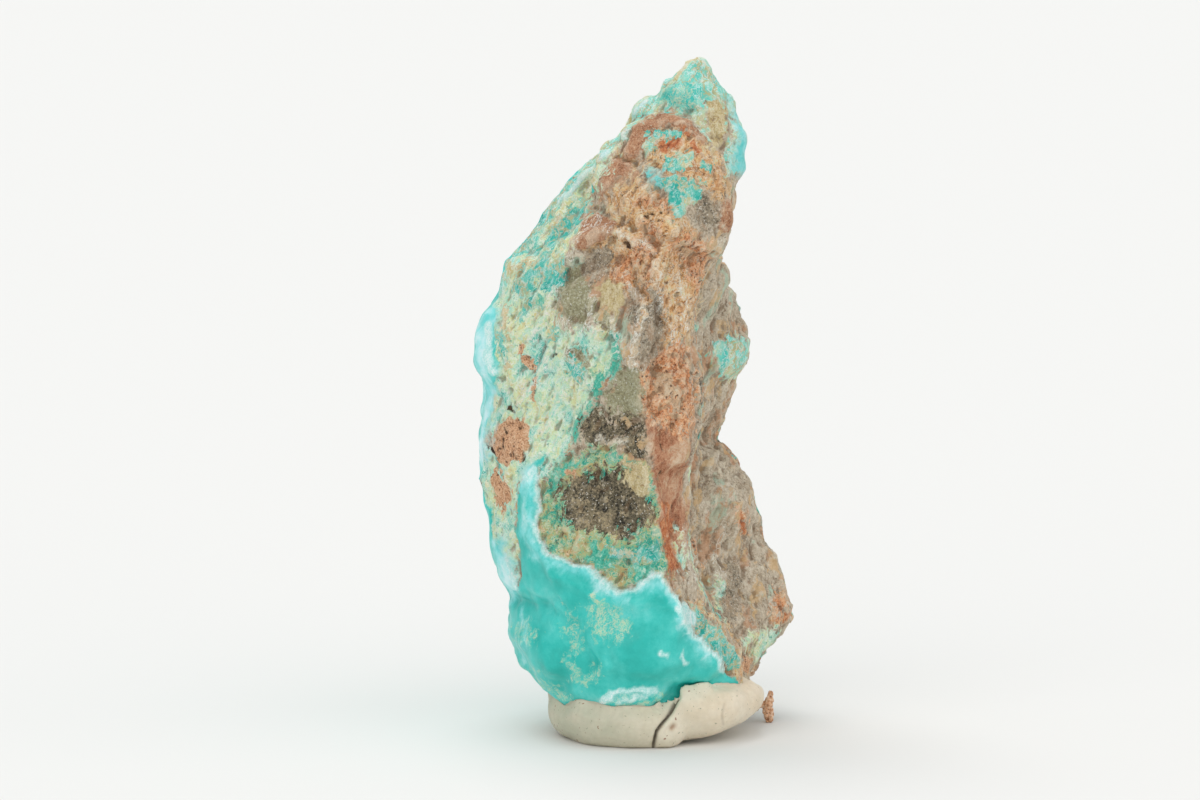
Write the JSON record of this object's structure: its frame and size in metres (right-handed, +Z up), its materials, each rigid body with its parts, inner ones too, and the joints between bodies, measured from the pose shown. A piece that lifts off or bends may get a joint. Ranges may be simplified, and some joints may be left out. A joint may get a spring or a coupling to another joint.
{
  "type": "raw hemimorphite specimen on mounting putty",
  "caption": "Upright slab of raw turquoise hemimorphite crust on brown and grey matrix, held by a folded lump of mounting putty with a crumb of matrix at its end.",
  "frame": {"origin": "in the flat foot of the putty, at ground level under the middle of the lump", "axes": "+Z up along the stone's length, +Y away from the side that the picture shows, +X to the right of that side"},
  "size_m": [0.0325, 0.0319, 0.0681],
  "materials": {
    "stone": "waxy turquoise crust over rough brown and grey matrix",
    "putty": "matte cream putty with fine specks",
    "crumb": "rough rust-brown matrix"
  },
  "bodies": {
    "root": {"hemimorphite_stone": "stone", "putty_base": "putty", "rust_crumb": "crumb"}
  },
  "joints": []
}
